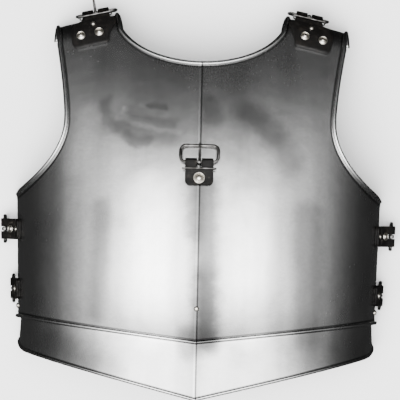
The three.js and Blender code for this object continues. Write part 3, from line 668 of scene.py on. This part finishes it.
def strap_outline(strap, keeper, inset):
    """The strap's side view, out along its outer face and back along its inner one."""
    inside = BAR["radius"] + BAR["play"] + inset
    outside = BAR["radius"] + BAR["play"] + LEATHER - inset
    wire_room = GAP + LEATHER + 2 * KEEPER_WIRE + 2 * GAP
    keeper_stops = [keeper - 1.6, keeper - 0.8, keeper, keeper + 0.8, keeper + 1.6] if keeper else []
    closed = (keeper or 4) + 3.7
    length = strap["length"] - inset
    stops = list(np.linspace(closed, length, max(3, round((length - closed) / 1.6))))
    fold = [radians(degrees) for degrees in range(-90, 91, 15)]
    back = stops[::-1]
    return np.array(
        [(d, GAP + inset) for d in back]
        + [(-outside * cos(a), BAR_HEIGHT + outside * sin(a)) for a in fold]
        + [(d, wire_room + LEATHER - inset) for d in keeper_stops]
        + [(d, LAYERS - inset) for d in stops]
        + [(d, LAYERS - LEATHER + inset) for d in back]
        + [(d, wire_room + inset) for d in keeper_stops[::-1]]
        + [(-inside * cos(a), BAR_HEIGHT + inside * sin(a)) for a in fold[::-1]]
        + [(d, GAP + LEATHER - inset) for d in stops])


def clipped_half(strap, d):
    corner = max(0, d - strap["length"] + CLIP["length"])
    half = lerp(strap["half"], strap["root_half"], smoothstep(d, WIDENS["from"], WIDENS["to"]))
    return half - CLIP["cut"] * corner ** 2


def strap_object(name, strap, keeper, track):
    spans = [(-1, edge, inset) for edge, inset in STRAP_EDGE]
    spans += [(lerp(-1, 1, i / STRAP_SECTIONS), 1.6 * (1 - i / STRAP_SECTIONS * 2), 0)
              for i in range(1, STRAP_SECTIONS)]
    spans += [(1, -edge, inset) for edge, inset in reversed(STRAP_EDGE)]
    points = []
    for f, edge, inset in spans:
        for d, h in strap_outline(strap, keeper, inset):
            points.append(track(f * clipped_half(strap, d) + edge, d, h))
    count = len(points) // len(spans)
    faces = []
    for i in range(len(spans) - 1):
        for j in range(count):
            a, b = i * count + j, i * count + (j + 1) % count
            faces.append((a, b, b + count, a + count))
    last = (len(spans) - 1) * count
    for j in range(count // 2 - 1):
        faces.append((j, count - 1 - j, count - 2 - j, j + 1))
        faces.append((last + j, last + j + 1, last + count - 2 - j, last + count - 1 - j))
    return outward(new_object(name, points, faces))


def outward(piece):
    """Turns a mirrored piece's faces back to the outside."""
    mesh = piece.data
    mesh.calc_loop_triangles()
    points = np.array([vertex.co for vertex in mesh.vertices])
    corners = points[np.array([triangle.vertices[:] for triangle in mesh.loop_triangles])]
    volume = np.einsum("ij,ij->i", corners[:, 0], np.cross(corners[:, 1], corners[:, 2])).sum()
    if volume < 0:
        mesh.flip_normals()
    return piece


def spot(origin, across, out):
    """A place on a strap. Its matrix has the directions across, along to the buckle, and out."""
    across, out = Vector(across).normalized(), Vector(out)
    along = out.cross(across).normalized()
    out = across.cross(along)
    return Matrix.Translation(origin) @ Matrix((across, along, out)).transposed().to_4x4()


def bar_place(track):
    origin = Vector(track(0, 0, BAR_HEIGHT))
    across = Vector(track(5, 0, BAR_HEIGHT)) - Vector(track(-5, 0, BAR_HEIGHT))
    return spot(origin, across, Vector(track(0, 0, BAR_HEIGHT + 5)) - origin)


def cut_slot(piece, place_of_bar):
    """The tongue comes through a slot that is cut in the fold."""
    x, z = SLOT["width"] / 2, SLOT["height"] / 2
    corners = [(i, j, k) for i in (-x, x) for j in (-SLOT["back"], SLOT["front"]) for k in (-z, z)]
    faces = [(0, 1, 3, 2), (4, 6, 7, 5), (0, 4, 5, 1), (2, 3, 7, 6), (0, 2, 6, 4), (1, 5, 7, 3)]
    cutter = outward(new_object("cutter", [place_of_bar @ Vector(corner) for corner in corners], faces))
    cut = piece.modifiers.new("slot", "BOOLEAN")
    cut.object, cut.operation, cut.solver = cutter, "DIFFERENCE", "EXACT"
    ready = piece.evaluated_get(bpy.context.evaluated_depsgraph_get())
    mesh = bpy.data.meshes.new_from_object(ready)
    piece.modifiers.clear()
    piece.data = mesh
    bpy.data.objects.remove(cutter)


LEATHER_BLACK = (0.002, 0.0017, 0.0015, 1)
LEATHER_WORN = (0.012, 0.010, 0.008, 1)
LEATHER_SCUFFED = (0.22, 0.20, 0.18, 1)
leather, leather_shader, leather_wire = surface("black_leather", 0.5, 0)
leather_shader.inputs["Specular IOR Level"].default_value = 0.2
place = leather_wire.node("ShaderNodeTexCoord", {}, {}, "Object")
grain = place.node("ShaderNodeTexVoronoi", {"feature": "DISTANCE_TO_EDGE"}, {"Vector": place, "Scale": 900})
creases = place.noise(160, 5, 0.6)
scuffs = place.noise(420, 3, 0.7).step(0.66, 0.74) * place.noise(70, 2, 0.5).step(0.48, 0.6)
worn_black = creases.step(0.5, 0.75).mix(LEATHER_BLACK, LEATHER_WORN)
feed(leather_shader, "Base Color", scuffs.mix(worn_black, LEATHER_SCUFFED))
feed(leather_shader, "Roughness", 0.62 - 0.25 * creases)
feed(leather_shader, "Normal", bump(grain.step(0, 0.12) * 0.5 + creases, 0.5, 0.0006))

# The chest strap is riveted to the ridge with its buckle upwards.
# Past the fold it bends down on both sides, over the ridge.
CHEST_BAR_Y = 259.5


def chest_track(a, d, h):
    slope = float(plate_height(0, CHEST_BAR_Y + 0.5) - plate_height(0, CHEST_BAR_Y - 0.5))
    y = CHEST_BAR_Y - d / hypot(1, slope)
    bend = float(smoothstep(d, 11.5, 19) * (plate_height(a, y) - plate_height(0, y)))
    out = np.array([0, -slope, 1]) / hypot(1, slope)
    return np.array([a, y, float(plate_height(0, y)) + bend]) + out * h


# The shoulder straps follow the roll of the plate and leave it in a straight line to the bar behind the
# shoulder. Each leans outward up the plate and bends towards the neck over the crest.
SHOULDER = {"centre_x": 124, "leave_angle": 60, "straight": 12, "lean": 0.22, "rivet_spread": 9.8,
            "crest_rivet": 20}
SHOULDER_BEND = {"y": 400, "reach": 8, "turn": 0.85}
SHOULDER_LIFT = {"bar": 1.2, "root": 0.3}


def shoulder_shift(plan_y):
    up = plan_y - SHOULDER_BEND["y"]
    reach = SHOULDER_BEND["reach"]
    past = max(0, up + reach) ** 2 / (4 * reach) if up < reach else up
    return SHOULDER["lean"] * up - SHOULDER_BEND["turn"] * past


def shoulder_track(side):
    leave = radians(SHOULDER["leave_angle"])

    def on_plate(a, d):
        back = d - SHOULDER["straight"]
        _, _, start, radius = shoulder_arc(SHOULDER["centre_x"] + a)
        turned = leave - back / radius
        rest = max(0, float((start - turned) * radius)) * cos(start)
        plan_y = shoulder_point(SHOULDER["centre_x"] + a, max(turned, start))[1] - rest
        x = SHOULDER["centre_x"] + a + shoulder_shift(float(plan_y))
        if rest == 0:
            return shoulder_point(x, max(turned, shoulder_arc(x)[2]))
        y = roll_start_y(x) - rest
        return np.array([x, y, float(plate_height(x, y))])

    end = on_plate(0, SHOULDER["straight"])
    across_bar = on_plate(8, SHOULDER["straight"]) - on_plate(-8, SHOULDER["straight"])
    across_bar /= np.linalg.norm(across_bar)
    away = end - on_plate(0, SHOULDER["straight"] + 1)
    away -= across_bar * away.dot(across_bar)
    away /= np.linalg.norm(away)

    def centre(d):
        return on_plate(0, d) if d > SHOULDER["straight"] else end + away * (SHOULDER["straight"] - d)

    def track(a, d, h):
        along = centre(d - 0.5) - centre(d + 0.5)
        out = np.cross(across_bar, along)
        point = centre(d) + across_bar * a * side
        blend = float(smoothstep(d, SHOULDER["straight"], SHOULDER["straight"] + 5))
        if blend > 0:
            point = lerp(point, on_plate(a * side, d), blend)
        settled = float(smoothstep(d, SHOULDER["straight"] + 2, SHOULDER["straight"] + 8))
        lift = lerp(SHOULDER_LIFT["bar"], SHOULDER_LIFT["root"], settled)
        return (point + out / np.linalg.norm(out) * (h + lift)) * (side, 1, 1)

    return track


# The side straps hang down the plate's sides. The upper pair springs outward from the steel.
UPPER_SIDE = {"y": 183, "bar_z": 18.5, "kick_z": 35.5, "kick": 0.55, "fold_rivet": 12}
LOWER_SIDE = {"y": 117, "bar_z": 19.5, "kick_z": 0, "kick": 0}


def side_surface_x(y, z):
    top = float(ridge_height(y) - crease_height(y))
    return float(side_x(y)) * (1 - min(z / top, 1) ** SECTION_POWER) ** (1 / SECTION_POWER)


def side_track(side, where):
    kick_z = where["kick_z"]

    def profile(y, d):
        slope = side_surface_x(y, kick_z) - side_surface_x(y, kick_z + 1) + where["kick"]
        free = max(0, kick_z - where["bar_z"]) * hypot(1, slope)
        if d >= free or kick_z == 0:
            z = max(kick_z, where["bar_z"]) + 0.97 * (d - free)
            return np.array([side_surface_x(y, z), y, z])
        drop = (free - d) / hypot(1, slope)
        return np.array([side_surface_x(y, kick_z) + slope * drop, y, kick_z - drop])

    def track(a, d, h):
        along = profile(where["y"], d - 0.5) - profile(where["y"], d + 0.5)
        out = np.array([-along[2], 0, along[0]]) / hypot(along[0], along[2])
        return (profile(where["y"] - a * side, d) + out * h) * (side, 1, 1)

    return track


tracks = {"chest": (chest_track, CHEST_STRAP, 8)}
for label, side in (("left", -1), ("right", 1)):
    tracks[label + "_shoulder"] = (shoulder_track(side), SHOULDER_STRAP, 9)
    tracks[label + "_upper_side"] = (side_track(side, UPPER_SIDE), UPPER_STRAP, 0)
    tracks[label + "_lower_side"] = (side_track(side, LOWER_SIDE), LOWER_STRAP, 0)

for name, (track, strap, keeper) in tracks.items():
    piece = strap_object(name + "_leather", strap, keeper, track)
    cut_slot(piece, bar_place(track))
    piece.data.materials.clear()
    piece.data.materials.append(leather)
    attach(piece, "plate")
    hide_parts(name + "_strap")

# Each buckle is a wire frame that turns on the bar in the fold, with a flat tongue that turns on it too.
# Thin wire keepers lie round the chest and shoulder straps.
BUCKLES = {
    "chest": {"wide": 41, "long": 19, "corner": 6, "pitch": -7, "lift": 0},
    "left_shoulder": {"wide": 43, "long": 21, "corner": 4.5, "pitch": -30, "lift": 75},
    "right_shoulder": {"wide": 43, "long": 21, "corner": 4.5, "pitch": -30, "lift": 0},
    "left_upper_side": {"wide": 29, "long": 17, "corner": 5, "pitch": -38, "lift": 0},
    "right_upper_side": {"wide": 29, "long": 17, "corner": 5, "pitch": -38, "lift": 0},
    "left_lower_side": {"wide": 29, "long": 17, "corner": 5, "pitch": 0, "lift": 0},
    "right_lower_side": {"wide": 29, "long": 17, "corner": 5, "pitch": 0, "lift": 0},
}
FRAME_WIRE = 1.8
TONGUE = {"half": 1.8, "tip_half": 1.0, "thick": 0.6, "eye": 2.5}
WIRE_SIDES = 14


def rounded_rectangle(half_x, low_y, high_y, radius):
    points = []
    corners = [(half_x - radius, high_y - radius, 0), (radius - half_x, high_y - radius, 90),
               (radius - half_x, low_y + radius, 180), (half_x - radius, low_y + radius, 270)]
    for x, y, start in corners:
        for step in range(9):
            angle = radians(start + 90 * step / 8)
            points.append((x + radius * cos(angle), y + radius * sin(angle)))
    return points


def swept(name, path, flat_normal, sizes, closed, material):
    """An oval section run along a flat path. sizes has its half widths in the plane and out of it."""
    path = [Vector(point) for point in path]
    count = len(path)
    points, faces = [], []
    for i, point in enumerate(path):
        ahead = path[(i + 1) % count] if closed or i < count - 1 else point
        behind = path[i - 1] if closed or i > 0 else point
        out = (ahead - behind).normalized().cross(flat_normal)
        for j in range(WIRE_SIDES):
            turn = 2 * pi * j / WIRE_SIDES
            points.append(point + out * sizes[i][0] * cos(turn) + flat_normal * sizes[i][1] * sin(turn))
    for i in range(count if closed else count - 1):
        for j in range(WIRE_SIDES):
            a, b = i * WIRE_SIDES + j, i * WIRE_SIDES + (j + 1) % WIRE_SIDES
            c, d = [(index + WIRE_SIDES) % (count * WIRE_SIDES) for index in (b, a)]
            faces.append((a, b, c, d))
    if not closed:
        last_ring = range((count - 1) * WIRE_SIDES, count * WIRE_SIDES)
        faces += [tuple(range(WIRE_SIDES))[::-1], tuple(last_ring)]
    made = outward(new_object(name, points, faces))
    made.data.materials.append(material)
    return made


def tongue_path(long):
    rest = BAR["radius"] + GAP
    loop = [radians(degrees) for degrees in range(345, 60, -15)]
    path = [(TONGUE["eye"] * cos(a), TONGUE["eye"] * sin(a)) for a in loop]
    return path + [(2.4, 2.1), (long * 0.3, rest - 0.05), (long * 0.55, rest + 0.1),
                   (long * 0.8, rest + 0.35), (long, rest + 0.65), (long + 1.6, rest + 0.55),
                   (long + 2.8, rest + 0.3)]


WIRE_DARK = (0.06, 0.058, 0.055, 1)
WIRE_WORN = (0.24, 0.235, 0.23, 1)
dark_steel, dark_shader, dark_wire = surface("dark_wire", 0.34, 1)
place = dark_wire.node("ShaderNodeTexCoord", {}, {}, "Object")
tarnish = place.noise(180, 3, 0.5)
feed(dark_shader, "Base Color", tarnish.step(0.4, 0.7).mix(WIRE_DARK, WIRE_WORN))
feed(dark_shader, "Roughness", 0.26 + 0.2 * tarnish)

for name, buckle in BUCKLES.items():
    track, strap, keeper = tracks[name]
    bar = bar_place(track)
    turned = bar @ Matrix.Rotation(radians(buckle["pitch"]), 4, "X")
    flat_ring = rounded_rectangle(buckle["wide"] / 2, 0, buckle["long"], buckle["corner"])
    ring = [turned @ Vector((x, y, 0)) for x, y in flat_ring]
    wires = [lerp(BAR["radius"], FRAME_WIRE, float(smoothstep(y, 2, 6))) for x, y in flat_ring]
    sizes = [(wire, wire) for wire in wires]
    piece = swept(name + "_frame_wire", ring, turned.to_3x3().col[2], sizes, True, dark_steel)
    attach(piece, name + "_frame")
    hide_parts(name + "_buckle_frame")

    lifted = bar @ Matrix.Rotation(radians(buckle["pitch"] + buckle["lift"]), 4, "X")
    path = tongue_path(buckle["long"])
    halves = [lerp(TONGUE["half"], TONGUE["tip_half"], max(0, x) / buckle["long"]) for x, z in path]
    sizes = [(TONGUE["thick"], half_width) for half_width in halves[:-1]] + [(0.3, 0.5)]
    across = lifted.to_3x3().col[0]
    path = [lifted @ Vector((0, x, z)) for x, z in path]
    piece = swept(name + "_tongue_wire", path, across, sizes, False, dark_steel)
    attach(piece, name + "_tongue")
    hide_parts(name + "_buckle_tongue")

    if keeper:
        low = GAP + LEATHER + GAP + KEEPER_WIRE - BAR_HEIGHT
        high = low + LEATHER + 2 * KEEPER_WIRE + 3 * GAP
        loop = rounded_rectangle(strap["half"] + 2.6, low, high, 1.6)
        sizes = [(KEEPER_WIRE, KEEPER_WIRE)] * len(loop)
        path = [bar @ Vector((x, -keeper, z)) for x, z in loop]
        piece = swept(name + "_keeper_wire", path, bar.to_3x3().col[1], sizes, True, dark_steel)
        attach(piece, "plate")
        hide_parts(name + "_keeper")

# Rivets: a domed head on a ring washer where leather is held, and a plain low dome where the lame is.
# Geometry Nodes set one at each point, along that point's own direction.
HEADS = {
    "chest": {"Washer": 6, "Dome": 3.6, "Height": 2.3, "Ring": 0.55},
    "shoulder": {"Washer": 4.9, "Dome": 2.7, "Height": 1.9, "Ring": 0.5},
    "side": {"Washer": 4.3, "Dome": 2.4, "Height": 1.7, "Ring": 0.45},
    "small": {"Washer": 2.7, "Dome": 2.2, "Height": 1.5, "Ring": 0.4},
    "lame": {"Washer": 2.32, "Dome": 2.9, "Height": 2.0, "Ring": 0.3},
}
LAME_RIVET = {"centre_y": 101.7, "side_y": 98, "side_z": 22}

rivet_sizes = {name: "NodeSocketFloat" for name in HEADS["chest"]}
rivet_tree, rivet_inputs = new_tree("rivet", {**rivet_sizes, "Material": "NodeSocketMaterial"})
rivet = Wire(rivet_tree)
given = {name: Wire(rivet_tree, rivet_inputs.outputs[name])
         for name in ("Geometry", *rivet_sizes, "Material")}
dome = rivet.node("GeometryNodeMeshUVSphere", {}, {"Segments": 28, "Rings": 16, "Radius": 1.0})
dome_size = rivet.node("ShaderNodeCombineXYZ", {}, {0: given["Dome"], 1: given["Dome"], 2: given["Height"]})
dome = rivet.node("GeometryNodeTransform", {}, {"Geometry": dome, "Scale": dome_size})
disc = rivet.node("GeometryNodeMeshCylinder", {},
                  {"Vertices": 32, "Radius": given["Washer"], "Depth": given["Ring"]})
rim_radius = given["Washer"] - given["Ring"] * 0.4
rim = rivet.node("GeometryNodeCurvePrimitiveCircle", {}, {"Resolution": 32, "Radius": rim_radius})
bead = rivet.node("GeometryNodeCurvePrimitiveCircle", {}, {"Resolution": 10, "Radius": given["Ring"]})
rim = rivet.node("GeometryNodeCurveToMesh", {}, {"Curve": rim, "Profile Curve": bead})
join = rivet_tree.nodes.new("GeometryNodeJoinGeometry")
for piece in (dome, disc, rim):
    rivet_tree.links.new(piece.socket, join.inputs[0])
head = Wire(rivet_tree, join.outputs[0])
direction = rivet.node("GeometryNodeInputNamedAttribute", {"data_type": "FLOAT_VECTOR"}, {"Name": "out"})
turn = rivet.node("FunctionNodeAlignRotationToVector", {"axis": "Z"}, {"Vector": direction})
placed = rivet.node("GeometryNodeInstanceOnPoints", {},
                    {"Points": given["Geometry"], "Instance": head, "Rotation": turn})
finish_tree(placed, given["Material"])

RIVET_BRIGHT = (0.78, 0.75, 0.68, 1)
RIVET_WORN = (0.50, 0.47, 0.42, 1)
rivet_steel, rivet_shader, rivet_wire = surface("rivet_steel", 0.25, 1)
place = rivet_wire.node("ShaderNodeTexCoord", {}, {}, "Object")
worn = place.noise(260, 3, 0.5)
feed(rivet_shader, "Base Color", worn.step(0.35, 0.7).mix(RIVET_BRIGHT, RIVET_WORN))
feed(rivet_shader, "Roughness", 0.18 + 0.2 * worn)


def rivets(name, seats, nodes, head_sizes):
    seed = new_object(name + "_seats", [seat for seat, out in seats], [])
    attribute = seed.data.attributes.new("out", "FLOAT_VECTOR", "POINT")
    attribute.data.foreach_set("vector", np.array([out for seat, out in seats], float).ravel())
    values = {label: length / 1000 for label, length in head_sizes.items()}
    values["Material"] = rivet_steel
    made = grown(rivet_tree, seed, values, name)
    made.data.shade_smooth()
    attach(made, "plate")
    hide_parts(*nodes)


def strap_seat(track, a, d):
    top = track(a, d, LAYERS + 0.5)
    out = track(a, d, LAYERS + 5) - top
    return top, out / np.linalg.norm(out)


def plate_seat(x, y):
    points = np.array([[abs(x), y]])
    low, high = raised_points(points, np.array([0.4]))[0], raised_points(points, np.array([5]))[0]
    mirror = (-1 if x < 0 else 1, 1, 1)
    return low * mirror, (high - low) / np.linalg.norm(high - low) * mirror


rivets("chest_rivet_head", [strap_seat(chest_track, 0, CHEST_STRAP["rivet"])], ["chest_rivet"],
       HEADS["chest"])
shoulder_seats, small_seats, side_seats = [], [], []
shoulder_nodes, small_nodes, side_nodes = [], [], []
for label, side in (("left", -1), ("right", 1)):
    track = tracks[label + "_shoulder"][0]
    for which, sign in (("inner", -1), ("outer", 1)):
        across = sign * side * SHOULDER["rivet_spread"]
        shoulder_seats.append(strap_seat(track, across, SHOULDER_STRAP["rivet"]))
        shoulder_nodes.append(f"{label}_shoulder_{which}_rivet")
    small_seats.append(strap_seat(track, 0, SHOULDER["crest_rivet"]))
    small_nodes.append(label + "_shoulder_crest_rivet")
    upper = tracks[label + "_upper_side"][0]
    small_seats.append(strap_seat(upper, 0, UPPER_STRAP["rivet"]))
    small_nodes.append(label + "_upper_side_plate_rivet")
    side_seats.append(strap_seat(upper, 0, UPPER_SIDE["fold_rivet"]))
    side_nodes.append(label + "_upper_side_fold_rivet")
    side_seats.append(strap_seat(tracks[label + "_lower_side"][0], 0, LOWER_STRAP["rivet"]))
    side_nodes.append(label + "_lower_side_rivet")
rivets("shoulder_rivet_heads", shoulder_seats, shoulder_nodes, HEADS["shoulder"])
rivets("side_rivet_heads", side_seats, side_nodes, HEADS["side"])
rivets("small_rivet_heads", small_seats, small_nodes, HEADS["small"])

side_rivet_x = side_surface_x(LAME_RIVET["side_y"], LAME_RIVET["side_z"])
lame_seats = [plate_seat(0, LAME_RIVET["centre_y"])]
lame_seats += [plate_seat(sign * side_rivet_x, LAME_RIVET["side_y"]) for sign in (-1, 1)]
rivets("lame_rivet_heads", lame_seats, ["lame_centre_rivet", "lame_left_rivet", "lame_right_rivet"],
       HEADS["lame"])
